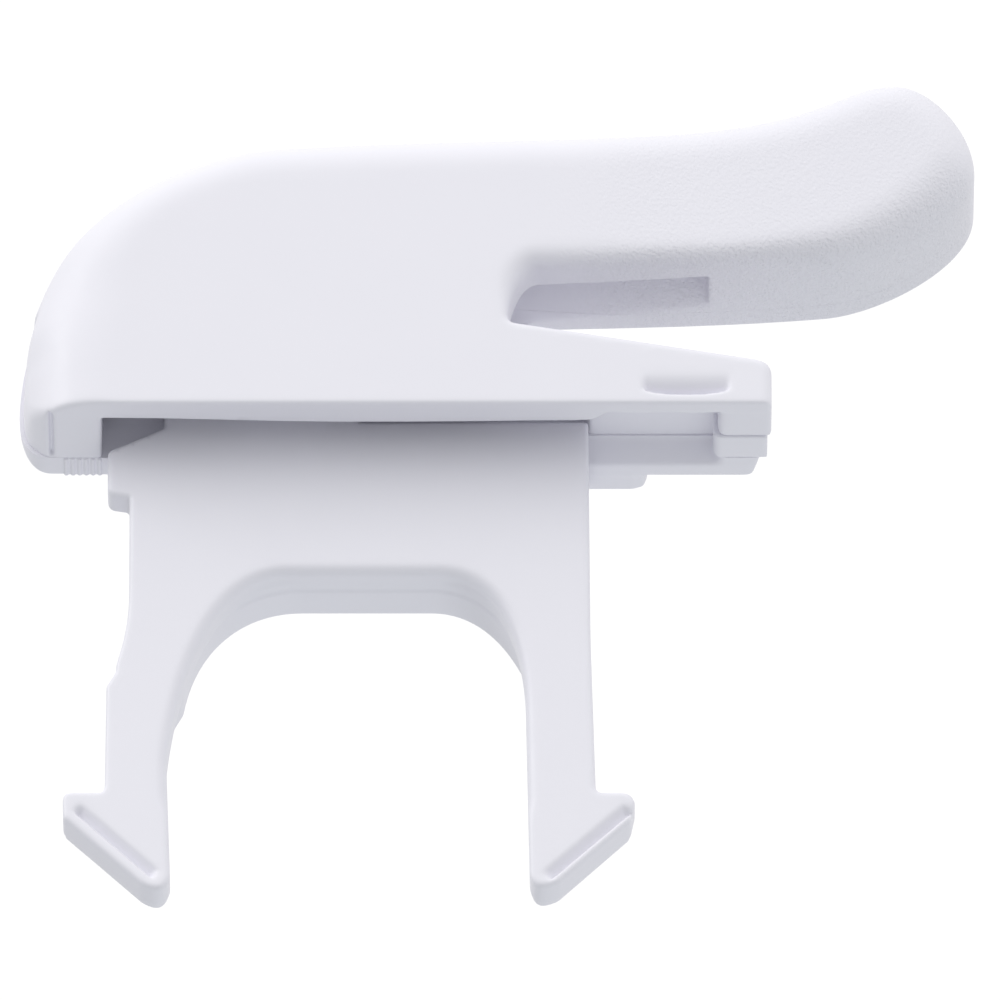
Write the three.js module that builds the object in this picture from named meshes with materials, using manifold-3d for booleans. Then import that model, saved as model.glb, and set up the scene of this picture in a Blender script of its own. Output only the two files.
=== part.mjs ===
// Stair gate latch: a sliding handle, with a finger lever and a bolt prong, on a clip-in fork.
// Millimetres. +X runs to the lever's tip, +Y away from the front face, +Z up.
// Origin: middle of the fork's saddle, the flat underside of the arch between its legs.
import * as THREE from 'three';
import { mergeVertices } from 'three/addons/utils/BufferGeometryUtils.js';
import Module from 'manifold-3d';

const wasm = await Module();
wasm.setup();

// ---- driving dimensions ----
const frontFace = -12.6;          // Y of the handle's front face
const parting = frontFace + 11.5; // Y where the rear cover meets the front shell
const rearFace = frontFace + 15.4;
const padFace = frontFace + 18.4; // the raised pad behind the fork
const forkFront = frontFace + 8.2;
const headBack = frontFace + 11.2;
const legBack = frontFace + 13.1;
const forkBack = frontFace + 17.2;
const frontWall = 4.2;
const gap = 0.3;                  // clearance between separate pieces
const bottom = 15.6;              // Z of the handle's open underside
const cavityLeft = -26;
const stroke = 12;                // travel of the handle along -X
const blockLeft = 37.8;           // inner end of the prong's solid nose
const channelLeft = 25.2;         // the prong's open underside, from here to its nose
const channelTop = bottom + 2.9;
const channelWall = 2.4;          // its front wall
const noseParting = frontFace + 7.1;
const prongEnd = 43.9;
const bossX = -8;
const bossZ = 24.5;
const bossRadius = 2.7;
const screwHole = 1.1;
const rodZ = 35.2;
const rodY = frontFace + 7.9;
const rodRadius = 1.1;
const lugLeft = -24.6;
const lugWidth = 3;
const ribX = 6;                   // the handle's spring abutment
const ribWidth = 3;
const washer = 0.6;               // thickness of the ring under the spring
const screws = [
  { name: 'cover_screw_slide', x: bossX, z: bossZ },
  { name: 'cover_screw_corner', x: -17.5, z: 41.2 },
  { name: 'cover_screw_top', x: 15, z: 42.5 },
  { name: 'cover_screw_lever', x: 46, z: 43.4 },
];
const legPivot = { x: 20.4, z: -9 };
const knuckle = 6.2;              // radius of the split between fork and snap leg
const catchZ = -26.3;             // barbs' catch faces

// ---- materials ----
const plastic = (color, roughness) => new THREE.MeshStandardMaterial({ color, roughness, metalness: 0 });
const steel = new THREE.MeshStandardMaterial({ color: 0xb9bcc2, roughness: 0.3, metalness: 1 });
const handleWhite = plastic(0xf1f0f6, 0.42);
const forkWhite = plastic(0xeeedf5, 0.38);

// ---- solid helpers ----
function solid(geometry) {
  const plain = geometry.clone();
  plain.deleteAttribute('normal');
  plain.deleteAttribute('uv');
  const merged = mergeVertices(plain, 1e-4);
  return new wasm.Manifold(new wasm.Mesh({
    numProp: 3,
    vertProperties: new Float32Array(merged.attributes.position.array),
    triVerts: new Uint32Array(merged.index.array),
  }));
}

function geometryOf(manifold) {
  const mesh = manifold.getMesh();
  const geometry = new THREE.BufferGeometry();
  geometry.setAttribute('position', new THREE.BufferAttribute(new Float32Array(mesh.vertProperties), 3));
  geometry.setIndex(new THREE.BufferAttribute(new Uint32Array(mesh.triVerts), 1));
  geometry.computeVertexNormals();
  return geometry;
}

// A shape drawn in X and Z, extruded along Y from y0 to y1.
function slab(shape, y0, y1) {
  const geometry = new THREE.ExtrudeGeometry(shape, { depth: y1 - y0, bevelEnabled: false, curveSegments: 10 });
  geometry.rotateX(Math.PI / 2);
  geometry.translate(0, y1, 0);
  return solid(geometry);
}

// The same, with both edges rounded by a radius that may change along the outline.
// roundAt(x, z, nx, nz) gives the front and rear radii; nx, nz is the outward normal there.
function pillow(shape, y0, y1, roundAt) {
  const outline = shape.getPoints(12);
  if (outline[0].distanceTo(outline[outline.length - 1]) < 1e-6) outline.pop();
  if (THREE.ShapeUtils.isClockWise(outline)) outline.reverse();
  const count = outline.length;
  const normals = outline.map((point, i) => {
    const before = outline[(i + count - 1) % count];
    const after = outline[(i + 1) % count];
    const along = new THREE.Vector2().subVectors(after, before).normalize();
    return new THREE.Vector2(along.y, -along.x);
  });
  const radii = outline.map((point, i) => roundAt(point.x, point.y, normals[i].x, normals[i].y));
  const steps = 4;
  const rings = [];
  const ring = (lean, offset, depth) => outline.map((point, i) => {
    const radius = radii[i][lean];
    const inward = radius * offset;
    const y = lean === 0 ? y0 + radius * depth : y1 - radius * depth;
    return [point.x - normals[i].x * inward, y, point.y - normals[i].y * inward];
  });
  for (let i = 0; i <= steps; i += 1) {
    const angle = (Math.PI / 2) * (i / steps);
    rings.push(ring(0, 1 - Math.sin(angle), 1 - Math.cos(angle)));
  }
  for (let i = steps; i >= 0; i -= 1) {
    const angle = (Math.PI / 2) * (i / steps);
    rings.push(ring(1, 1 - Math.sin(angle), 1 - Math.cos(angle)));
  }
  const triangles = [];
  for (let r = 0; r + 1 < rings.length; r += 1) {
    for (let i = 0; i < count; i += 1) {
      const j = (i + 1) % count;
      const [a, b, c, d] = [r * count + i, r * count + j, (r + 1) * count + j, (r + 1) * count + i];
      triangles.push(a, c, b, a, d, c);
    }
  }
  const last = (rings.length - 1) * count;
  const flat = (points) => points.map(([x, , z]) => new THREE.Vector2(x, z));
  for (const [a, b, c] of THREE.ShapeUtils.triangulateShape(flat(rings[0]), [])) triangles.push(a, b, c);
  for (const [a, b, c] of THREE.ShapeUtils.triangulateShape(flat(rings[rings.length - 1]), [])) {
    triangles.push(last + a, last + c, last + b);
  }
  const geometry = new THREE.BufferGeometry();
  geometry.setAttribute('position', new THREE.Float32BufferAttribute(rings.flat(2), 3));
  geometry.setIndex(triangles);
  return solid(geometry);
}

function block(x0, x1, y0, y1, z0, z1) {
  const geometry = new THREE.BoxGeometry(x1 - x0, y1 - y0, z1 - z0);
  geometry.translate((x0 + x1) / 2, (y0 + y1) / 2, (z0 + z1) / 2);
  return solid(geometry);
}

function rodAlongY(x, z, radius, y0, y1, sides = 20) {
  const geometry = new THREE.CylinderGeometry(radius, radius, y1 - y0, sides);
  geometry.translate(x, (y0 + y1) / 2, z);
  return solid(geometry);
}

function rodAlongX(y, z, radius, x0, x1, sides = 16) {
  const geometry = new THREE.CylinderGeometry(radius, radius, x1 - x0, sides);
  geometry.rotateZ(Math.PI / 2);
  geometry.translate((x0 + x1) / 2, y, z);
  return solid(geometry);
}

function polygon(points) {
  return new THREE.Shape(points.map(([x, z]) => new THREE.Vector2(x, z)));
}

// ---- outlines, in X and Z ----
// Handle seen from the front: soft cap on the left, lever curling up to the right, prong below it.
function handleOutline() {
  const s = new THREE.Shape();
  s.moveTo(-31.4, bottom);
  s.bezierCurveTo(-33.6, bottom, -34.9, 17.6, -34.9, 20.5);
  s.bezierCurveTo(-34.8, 26.1, -33.2, 33.2, -29.4, 37.5);
  s.bezierCurveTo(-25.1, 42.4, -15.9, 47.6, -8.4, 48.2);
  s.bezierCurveTo(4, 49.2, 20, 49.2, 32.3, 50);
  s.bezierCurveTo(49.7, 51, 51, 55.95, 57, 55.95);
  s.bezierCurveTo(61.1, 55.95, 65.3, 50.3, 65.3, 46.2);
  s.bezierCurveTo(65.3, 40.5, 55.6, 34.7, 49.6, 34.1);
  s.bezierCurveTo(40, 33.2, 30, 33, 21.5, 32.7);
  s.bezierCurveTo(18.6, 32.2, 16.6, 29.2, 16.4, 26);
  s.bezierCurveTo(17.2, 25, 18.6, 24.6, 20.4, 24.3);
  s.lineTo(42.4, 20.8);
  s.bezierCurveTo(43.4, 20.6, prongEnd, 20.2, prongEnd, 19.3);
  s.lineTo(prongEnd, bottom);
  s.closePath();
  return s;
}

// The same outline drawn in by the wall: the room inside cap and lever.
function cavityOutline() {
  const s = new THREE.Shape();
  s.moveTo(cavityLeft, bottom - 2);
  s.lineTo(cavityLeft, 20);
  s.bezierCurveTo(-31, 21, -31, 31, -26.6, 36);
  s.bezierCurveTo(-22.5, 40.5, -15, 44.4, -8, 45);
  s.bezierCurveTo(4, 46, 20, 46, 32.3, 46.9);
  s.bezierCurveTo(48, 48, 51, 52.6, 57, 52.6);
  s.bezierCurveTo(59.6, 52.4, 62, 49, 62, 46.4);
  s.bezierCurveTo(61.6, 43.8, 55, 41.4, 49.2, 40.8);
  s.bezierCurveTo(40, 40.4, 30, 40.2, 21.4, 40);
  s.bezierCurveTo(15.4, 38.6, 13.2, 32, 13.2, 25);
  s.lineTo(14.4, 22.4);
  s.lineTo(24, 20.9);
  s.lineTo(channelLeft, channelTop);
  s.lineTo(channelLeft, bottom - 2);
  s.closePath();
  return s;
}

// Fork plate below the handle, mirrored legs are cut from it later.
function forkOutline() {
  const s = new THREE.Shape();
  s.moveTo(-25.4, bottom);
  s.lineTo(-25.4, 10.2);
  s.quadraticCurveTo(-25.3, 9.4, -24.4, 9.3);
  s.lineTo(-23.1, 8.8);
  s.lineTo(-23.1, -3.4);
  s.bezierCurveTo(-23.4, -9, -24.6, -10.5, -24.4, -11.8);
  s.lineTo(-25.4, -13.6);
  s.lineTo(-25.5, catchZ + 0.6);
  s.lineTo(-26.2, catchZ);
  s.lineTo(-29.1, catchZ);
  s.quadraticCurveTo(-29.85, catchZ, -29.85, catchZ - 0.9);
  s.lineTo(-29.8, catchZ - 3.1);
  s.lineTo(-21.9, -37.05);
  s.quadraticCurveTo(-19.3, -38.75, -18.65, -36.2);
  s.lineTo(-19.1, -22.7);
  s.bezierCurveTo(-18.3, -14.1, -15.1, 0, -6.4, 0);
  s.lineTo(9.3, 0);
  s.bezierCurveTo(15.2, 0, 18, -6.6, 18.25, -15.5);
  s.lineTo(18.65, -36);
  s.quadraticCurveTo(19, -38.6, 21.8, -37);
  s.lineTo(29.15, catchZ - 3.45);
  s.lineTo(29.6, catchZ - 1.2);
  s.quadraticCurveTo(29.3, catchZ, 28.2, catchZ);
  s.lineTo(26, catchZ);
  s.lineTo(25.5, catchZ + 0.6);
  s.lineTo(25, -8);
  s.lineTo(24.8, bottom);
  s.closePath();
  return s;
}

// Edge radii of the handle, front and rear: soft round cap and lever, crisp prong and underside.
function handleRounds(x, z, nx, nz) {
  if (z < bottom + 0.2) return [0.01, 0.01];
  if (x > 16 && z < 27) return [0.6, 0.6];
  const under = x > 16 && nz < 0 ? THREE.MathUtils.lerp(2, 4, THREE.MathUtils.smoothstep(x, 40, 64)) : 0;
  const left = THREE.MathUtils.smoothstep(-x, 0, 30);
  return [under || THREE.MathUtils.lerp(4.4, 6, left), 1.2];
}

const handleBand = handleOutline();
const forkBand = forkOutline();

// ---- handle ----
// Recess in the lever's underside and the open channel in the prong's.
const leverSlot = () => block(16, 37.2, frontFace + 5, parting - 0.5, 26, 36.6);
const prongChannel = (y0, y1) => block(channelLeft - 1, blockLeft, y0, y1, bottom - 1, channelTop);

function frontShell() {
  const skin = pillow(handleBand, frontFace, rearFace, handleRounds);
  const box = block(-40, 70, frontFace - 1, parting - gap / 2, bottom, 60);
  let shell = skin.intersect(box);
  shell = shell.subtract(slab(cavityOutline(), frontFace + frontWall, parting + 1));
  shell = shell.subtract(leverSlot()).subtract(prongChannel(frontFace + channelWall, parting + 1));
  shell = shell.subtract(block(blockLeft - 1, 50, noseParting - gap / 2, parting + 1, bottom - 1, 19.4));
  for (const screw of screws) {
    const start = frontFace + frontWall - 1;
    shell = shell.add(rodAlongY(screw.x, screw.z, bossRadius, start, parting - gap / 2));
    shell = shell.subtract(rodAlongY(screw.x, screw.z, screwHole + gap, start + 1, parting + 1, 14));
  }
  const ribTop = 47;
  const rib = block(ribX, ribX + ribWidth, frontFace + frontWall - 1, parting - gap / 2, 31.4, ribTop);
  shell = shell.add(rib);
  shell = shell.subtract(rodAlongX(rodY, rodZ, rodRadius + gap, ribX - 1, ribX + ribWidth + 1));
  // A scoop in the prong's face: it deepens downwards and ends in a lip that bows down in the middle.
  const scoop = polygon([[30.4, 19.4], [30.4, 17.4], [32.4, 16.9], [34.9, 16.75], [37.4, 16.9], [39.6, 17.4], [39.6, 19.4]]);
  const slope = new THREE.Shape([[-1, 19.4], [0, 19.4], [0.5, 18.3], [1.2, 17.4], [1.2, 16], [-1, 16]]
    .map(([depth, z]) => new THREE.Vector2(frontFace + depth, z)));
  const wedge = new THREE.ExtrudeGeometry(slope, { depth: 12, bevelEnabled: false });
  wedge.rotateX(Math.PI / 2);
  wedge.rotateZ(Math.PI / 2);
  wedge.translate(29, 0, 0);
  return shell.subtract(solid(wedge).intersect(slab(scoop, frontFace - 1, frontFace + 2)));
}

function rearCover() {
  const skin = pillow(handleBand, frontFace, rearFace, handleRounds);
  let cover = skin.intersect(block(-40, 70, parting + gap / 2, 10, bottom, 60));
  const pad = slab(polygon([[-20, bottom], [29.8, bottom], [31, 17], [31, 19.6], [27, 20.8],
    [14, 22], [9, 31], [-12, 31], [-20, 26]]), rearFace - 1, padFace);
  cover = cover.add(pad).subtract(prongChannel(parting, parting + 1.2));
  for (const screw of screws) {
    cover = cover.subtract(rodAlongY(screw.x, screw.z, screwHole + gap, parting - 1, padFace + 1, 14));
    const seat = screw.name === 'cover_screw_slide' ? padFace - 3.4 : rearFace - 1.7;
    cover = cover.subtract(rodAlongY(screw.x, screw.z, 2.5, seat, padFace + 1, 20));
  }
  return cover;
}

// Solid nose of the prong, held between shell and cover; its inner edge is rounded.
function noseBlock() {
  const noseTop = 19.1;
  const body = block(blockLeft + 1, prongEnd - 0.4, noseParting + gap / 2, parting - gap / 2, bottom, noseTop);
  const round = new THREE.CylinderGeometry(1, 1, noseTop - bottom, 20);
  round.rotateX(Math.PI / 2);
  round.translate(blockLeft + 1, noseParting + gap / 2 + 1, (noseTop + bottom) / 2);
  const back = block(blockLeft, blockLeft + 1.5, noseParting + gap / 2 + 1, parting - gap / 2, bottom, noseTop);
  return body.add(solid(round)).add(back);
}

function coverScrew({ name, x, z }) {
  const seat = (name === 'cover_screw_slide' ? padFace - 3.4 : rearFace - 1.7) + gap;
  const shank = rodAlongY(x, z, screwHole, parting - 5.5, seat + 0.2, 12);
  const head = new THREE.LatheGeometry([
    new THREE.Vector2(0, 0), new THREE.Vector2(2.1, 0), new THREE.Vector2(2.1, 0.6),
    new THREE.Vector2(1.5, 1.2), new THREE.Vector2(0, 1.3),
  ], 20);
  head.translate(x, seat, z);
  const slot = block(x - 0.3, x + 0.3, seat + 0.7, seat + 2, z - 1.3, z + 1.3);
  const cross = block(x - 1.3, x + 1.3, seat + 0.7, seat + 2, z - 0.3, z + 0.3);
  return shank.add(solid(head)).subtract(slot).subtract(cross);
}

// ---- carriage: the fork's head inside the handle, its plate and its snap legs ----
function forkHead() {
  const guideTop = channelTop - gap;
  const tall = polygon([[-25.4, bottom - 1], [24.8, bottom - 1], [24.8, guideTop], [0.8, guideTop],
    [0.2, 29.4], [-24.6, 29.4], [-25.4, 28.6]]);
  let head = slab(tall, forkFront, headBack);
  const lug = block(lugLeft, lugLeft + lugWidth, forkFront - 3, headBack, 28.4, 37.6);
  head = head.add(lug.subtract(rodAlongX(rodY, rodZ, rodRadius + 2 * gap, lugLeft - 1, lugLeft + lugWidth + 1)));
  const slotRadius = bossRadius + gap;
  for (const x of [bossX - stroke, bossX]) {
    head = head.subtract(rodAlongY(x + gap / 2, bossZ, slotRadius, forkFront - 1, headBack + 1, 24));
  }
  const window = block(bossX - stroke, bossX, forkFront - 1, headBack + 1, bossZ - slotRadius, bossZ + slotRadius);
  return head.subtract(window);
}

function forkPlate() {
  const plate = slab(forkBand, forkFront, headBack + 0.01);
  const thick = slab(forkBand, headBack, forkBack).intersect(block(-40, 40, headBack, forkBack, -16, bottom - gap));
  return plate.intersect(block(-40, 40, -20, 20, -60, bottom)).add(thick);
}

// The region that belongs to a snap leg: a disc round its pivot and all below it.
function legRegion(side, grow) {
  const x = side * legPivot.x;
  const disc = rodAlongY(x, legPivot.z, knuckle + grow, -20, 20, 48);
  const below = block(x - 12, x + 12, -20, 20, -60, legPivot.z);
  return disc.add(below);
}

function clipFork() {
  // The head's lower left corner is cut away, and the cavity shows through.
  const notch = slab(polygon([[-27, 13.8], [-19.5, 17.5], [-19.5, 21], [-27, 21]]), forkFront - 1, headBack);
  let fork = forkPlate().add(forkHead()).subtract(notch);
  fork = fork.subtract(legRegion(-1, gap)).subtract(legRegion(1, gap));
  return fork;
}

function snapLeg(side) {
  const backs = slab(forkBand, forkFront, legBack);
  const leg = backs.intersect(legRegion(side, 0));
  // A groove runs along the barb's face, beside its ramp.
  const line = side < 0
    ? [[-19.75, -35.75], [-27.8, -27.9], [-28.6, -28.7], [-20.55, -36.55]]
    : [[20, -35.95], [28.4, -27.9], [29.05, -28.7], [20.75, -36.7]];
  const groove = polygon(line);
  return leg.subtract(slab(groove, forkFront - 1, forkFront + 0.9));
}

// ---- spring and rod ----
function returnSpring() {
  const start = lugLeft + lugWidth + washer + 2 * gap + 0.4;
  const end = ribX - gap - 0.4;
  const turns = 9;
  const wire = 0.32;
  const mean = 2.2;
  class Helix extends THREE.Curve {
    getPoint(t, target = new THREE.Vector3()) {
      const angle = 2 * Math.PI * turns * t;
      return target.set(start + (end - start) * t, rodY + mean * Math.cos(angle), rodZ + mean * Math.sin(angle));
    }
  }
  const section = new THREE.Shape();
  section.absarc(0, 0, wire, 0, 2 * Math.PI);
  const options = { steps: turns * 14, extrudePath: new Helix(), curveSegments: 3, bevelEnabled: false };
  return solid(new THREE.ExtrudeGeometry(section, options));
}

const guideRod = () => rodAlongX(rodY, rodZ, rodRadius, -25.2, ribX + ribWidth + 1.6);

// A flat ring round the rod: the push-on clip behind the rib, the washer under the spring.
function ringOnRod(x0, thickness, radius) {
  const hole = rodAlongX(rodY, rodZ, rodRadius + gap, x0 - 1, x0 + thickness + 1);
  return rodAlongX(rodY, rodZ, radius, x0, x0 + thickness, 24).subtract(hole);
}

// ---- assembly ----
const latch = new THREE.Group();
function piece(name, manifold, material) {
  const mesh = new THREE.Mesh(geometryOf(manifold), material);
  mesh.name = name;
  latch.add(mesh);
}

piece('handle_front_shell', frontShell(), handleWhite);
piece('handle_rear_cover', rearCover(), handleWhite);
for (const screw of screws) piece(screw.name, coverScrew(screw), steel);
piece('prong_nose_block', noseBlock(), handleWhite);
piece('guide_rod', guideRod(), steel);
piece('rod_clip', ringOnRod(ribX + ribWidth + gap, 0.8, 2.6), steel);
piece('spring_washer', ringOnRod(lugLeft + lugWidth + gap, washer, 2.7), steel);
piece('return_spring', returnSpring(), steel);
piece('clip_fork', clipFork(), forkWhite);
piece('left_snap_leg', snapLeg(-1), forkWhite);
piece('right_snap_leg', snapLeg(1), forkWhite);

export default latch;
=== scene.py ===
"""Fine model and studio for the stair gate latch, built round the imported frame.

Lengths are in millimetres until a mesh is made, and MM turns them into metres. The frame is the
CAD's: +X to the lever's tip, +Y away from the front face, +Z up, origin in the fork's saddle.
The mouldings are signed distance fields, negative inside, sampled on a grid and turned into meshes,
so that every edge has the small radius of a moulded one.
"""

import math

import bmesh
import bpy
import numpy as np
import openvdb
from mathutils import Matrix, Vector


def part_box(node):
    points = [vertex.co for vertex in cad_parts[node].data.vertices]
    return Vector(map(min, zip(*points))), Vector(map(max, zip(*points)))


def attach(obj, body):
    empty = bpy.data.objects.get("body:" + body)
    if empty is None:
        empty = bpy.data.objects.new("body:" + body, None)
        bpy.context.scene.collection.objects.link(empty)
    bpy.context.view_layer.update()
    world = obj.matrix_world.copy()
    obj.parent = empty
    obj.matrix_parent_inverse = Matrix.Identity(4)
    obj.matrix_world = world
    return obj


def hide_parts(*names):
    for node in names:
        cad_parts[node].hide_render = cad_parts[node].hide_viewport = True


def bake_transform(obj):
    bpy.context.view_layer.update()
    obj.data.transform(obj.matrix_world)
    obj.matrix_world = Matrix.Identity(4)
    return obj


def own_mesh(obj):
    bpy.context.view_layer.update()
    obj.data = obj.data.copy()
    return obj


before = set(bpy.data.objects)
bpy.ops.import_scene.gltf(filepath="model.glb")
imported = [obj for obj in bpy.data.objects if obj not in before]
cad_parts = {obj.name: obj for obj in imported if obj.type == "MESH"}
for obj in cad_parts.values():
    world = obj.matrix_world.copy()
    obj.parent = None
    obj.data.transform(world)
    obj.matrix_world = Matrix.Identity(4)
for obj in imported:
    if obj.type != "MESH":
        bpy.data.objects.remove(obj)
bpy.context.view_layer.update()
MM = 0.001
VOXEL = 0.2


def node_box(name):
    """Lowest and highest corner of a CAD node, in millimetres."""
    low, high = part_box(name)
    return low / MM, high / MM


shell_low, shell_high = node_box("handle_front_shell")
cover_low, cover_high = node_box("handle_rear_cover")
fork_low, fork_high = node_box("clip_fork")
nose_low, nose_high = node_box("prong_nose_block")
left_leg_low, left_leg_high = node_box("left_snap_leg")

# Y planes, from front to back, and the handle's underside
PARTING = shell_high.y + 0.15
FRONT = PARTING - 11.5
FORK_BACK = fork_high.y
FORK_FRONT = FORK_BACK - 9
HEAD_BACK = FORK_FRONT + 3
CREASE = FORK_FRONT + 3.9
LEG_BACK = left_leg_high.y
PAD_BACK = cover_high.y
REAR = PAD_BACK - 3
NOSE_FRONT = nose_low.y
BOTTOM = shell_low.z
NOSE_LEFT = nose_low.x
SEAM = 0.012          # half the hairline gap along a parting line
CAVITY_LEFT = -26
CATCH = -26.3         # Z of the barbs' catch faces
GAP = 0.3             # clearance between pieces that move past each other
STROKE = 12           # how far the handle slides on the fork
FORK_SPLIT = 1.45     # X where the fork's two halves meet
CHANNEL_TOP = BOTTOM + 2.9


# ---------------------------------------------------------------- outlines, in X and Z
def bezier(controls, count):
    """Points along a Bezier curve of any degree, without its first one."""
    result = []
    for i in range(1, count + 1):
        level = list(controls)
        while len(level) > 1:
            level = [a.lerp(b, i / count) for a, b in zip(level, level[1:])]
        result.append(level[0])
    return result


def trace(start, *stretches, spacing=0.25):
    """A closed outline: each stretch lists control points and an end, or a line's end alone."""
    outline = [Vector(start)]
    for stretch in stretches:
        controls = [outline[-1], *[Vector(p) for p in stretch]]
        length = sum((b - a).length for a, b in zip(controls, controls[1:]))
        outline.extend(bezier(controls, max(1, round(length / spacing))))
    if (outline[0] - outline[-1]).length < 1e-6:
        outline.pop()
    return outline


def handle_outline():
    """Soft cap on the left, lever curling up to the right, prong below it."""
    return trace(
        (-31.4, BOTTOM),
        [(-33.6, BOTTOM), (-34.9, 17.6), (-34.9, 20.5)],
        [(-34.8, 26.1), (-33.2, 33.2), (-29.4, 37.5)],
        [(-25.1, 42.4), (-15.9, 47.6), (-8.4, 48.2)],
        [(4, 49.2), (20, 49.2), (32.3, 50)],
        [(49.7, 51), (51, 55.95), (57, 55.95)],
        [(61.1, 55.95), (65.3, 50.3), (65.3, 46.2)],
        [(65.3, 40.5), (55.6, 34.7), (49.6, 34.1)],
        [(40, 33.2), (30, 33), (19.6, 32.75)],
        [(18.6, 32.7), (18, 31.9), (17.6, 31.1)],
        [(17, 29.9), (16.5, 28.4), (16.4, 26.4)],
        [(16.4, 25.8), (16.7, 25.65), (17.3, 25.5)],
        [(42.4, 21.1)],
        [(43.4, 20.9), (43.9, 20.4), (43.9, 19.5)],
        [(43.9, BOTTOM)],
    )


def skin_outline():
    """The handle's outline carried on below its underside, so that its rounding stops there."""
    outline = handle_outline()
    corner = next(i for i, point in enumerate(outline) if point.y > 20.5 - 1e-6)
    below = BOTTOM - 14
    return [Vector((outline[corner].x, below)), *outline[corner:], Vector((43.9, below))]


def cavity_outline():
    """The room inside cap, lever and prong; it runs down out of the open underside."""
    return trace(
        (CAVITY_LEFT, BOTTOM - 3),
        [(CAVITY_LEFT, 20)],
        [(-31, 21), (-31, 31), (-26.6, 36)],
        [(-22.5, 40.5), (-15, 44.4), (-8, 45)],
        [(4, 46), (20, 46), (32.3, 46.9)],
        [(48, 48), (51, 52.6), (57, 52.6)],
        [(59.6, 52.4), (62, 49), (62, 46.4)],
        [(61.6, 43.8), (55, 41.4), (49.2, 40.8)],
        [(40, 40.4), (30, 40.2), (21.4, 40)],
        [(15.4, 38.6), (13.2, 32), (13.2, 25)],
        [(14.4, 22.4)],
        [(24, 20.9)],
        [(24.8, CHANNEL_TOP)],
        [(25.5, BOTTOM - 3)],
    )


LEFT_EDGE = [
    [(-25.4, 10.2)],
    [(-25.35, 9.35), (-24.4, 9.3)],
    [(-23.1, 9.1)],
    [(-23.1, -3.4)],
    [(-23.4, -9), (-24.6, -10.5), (-24.4, -11.8)],
    [(-25.4, -13.6)],
    [(-25.5, CATCH + 0.8)],
    [(-25.5, CATCH), (-26.2, CATCH)],
    [(-29.1, CATCH)],
    [(-29.85, CATCH), (-29.85, CATCH - 0.9)],
    [(-29.8, CATCH - 3.1)],
    [(-21.75, -37.2)],
    [(-19.3, -38.85), (-18.65, -36.4)],
    [(-19.1, -22.7)],
]
RIGHT_EDGE = [
    [(18.65, -36)],
    [(19, -38.6), (21.8, -37)],
    [(29.15, CATCH - 3.45)],
    [(29.6, CATCH - 1.2)],
    [(29.3, CATCH), (28.2, CATCH)],
    [(26.2, CATCH)],
    [(25.5, CATCH), (25.5, CATCH + 0.8)],
    [(25, -8)],
    [(24.8, BOTTOM)],
]


def plate_outline():
    """The fork's front layer."""
    return trace(
        (-25.4, BOTTOM),
        *LEFT_EDGE,
        [(-18.3, -14.1), (-15.1, 0), (-6.4, 0)],
        [(9.3, 0)],
        [(15.2, 0), (18, -6.6), (18.25, -15.5)],
        *RIGHT_EDGE,
    )


def rib_outline():
    """The fork's rear layer, a rib that follows the arch and runs out on the legs."""
    return trace(
        (-23.1, BOTTOM),
        [(-23.1, -3.4)],
        [(-23.4, -9), (-24.6, -10.5), (-24.4, -11.8)],
        [(-22, -15.4)],
        [(-18.9, -14.8)],
        [(-17.6, -12.4)],
        [(-16.4, -5), (-11.8, 0), (-5, 0)],
        [(8.4, 0)],
        [(13.2, 0), (16.6, -4), (18.6, -9)],
        [(22, -12)],
        [(24.9, -8)],
        [(24.8, BOTTOM)],
    )


# ---------------------------------------------------------------- fields
REACH = 11            # how far from an outline its distance is worked out


class Grid:
    """Sample points of a block, in millimetres: x, y and z broadcast against each other."""

    def __init__(self, low, high, voxel=VOXEL, margin=1.2):
        self.voxel = voxel
        self.low = np.array(low, float) - margin
        counts = np.ceil((np.array(high, float) + margin - self.low) / voxel).astype(int) + 1
        self.shape = tuple(counts)
        lines = [(self.low[i] + voxel * np.arange(counts[i])).astype(np.float32) for i in range(3)]
        self.x = lines[0][:, None, None]
        self.y = lines[1][None, :, None]
        self.z = lines[2][None, None, :]

    def window(self, axis, low, high):
        """The sample numbers along an axis that lie between two values."""
        first = math.floor((low - self.low[axis]) / self.voxel)
        last = math.ceil((high - self.low[axis]) / self.voxel) + 1
        return slice(max(first, 0), max(min(last, self.shape[axis]), 0))

    def flat(self, outline):
        """Signed distance to an outline in X and Z, and the number of its nearest stretch."""
        xs, zs = self.x[:, 0, 0], self.z[0, 0, :]
        best = np.full((xs.size, zs.size), REACH * REACH, np.float32)
        nearest = np.zeros(best.shape, int)
        inside = np.zeros(best.shape, bool)
        for i, (a, b) in enumerate(zip(outline, outline[1:] + outline[:1])):
            dx, dz = b.x - a.x, b.y - a.y
            i0 = self.window(0, min(a.x, b.x) - REACH, max(a.x, b.x) + REACH)
            i1 = self.window(2, min(a.y, b.y) - REACH, max(a.y, b.y) + REACH)
            px, pz = xs[i0, None], zs[None, i1]
            t = np.clip(((px - a.x) * dx + (pz - a.y) * dz) / (dx * dx + dz * dz), 0, 1)
            far = (px - a.x - t * dx) ** 2 + (pz - a.y - t * dz) ** 2
            closer = far < best[i0, i1]
            best[i0, i1][closer] = far[closer]
            nearest[i0, i1][closer] = i
            rows = (a.y > zs) != (b.y > zs)
            if rows.any():
                inside[:, rows] ^= xs[:, None] < a.x + (zs[None, rows] - a.y) * dx / dz
        distance = np.sqrt(best)
        distance[inside] *= -1
        return distance[:, None, :], nearest[:, None, :]


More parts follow.
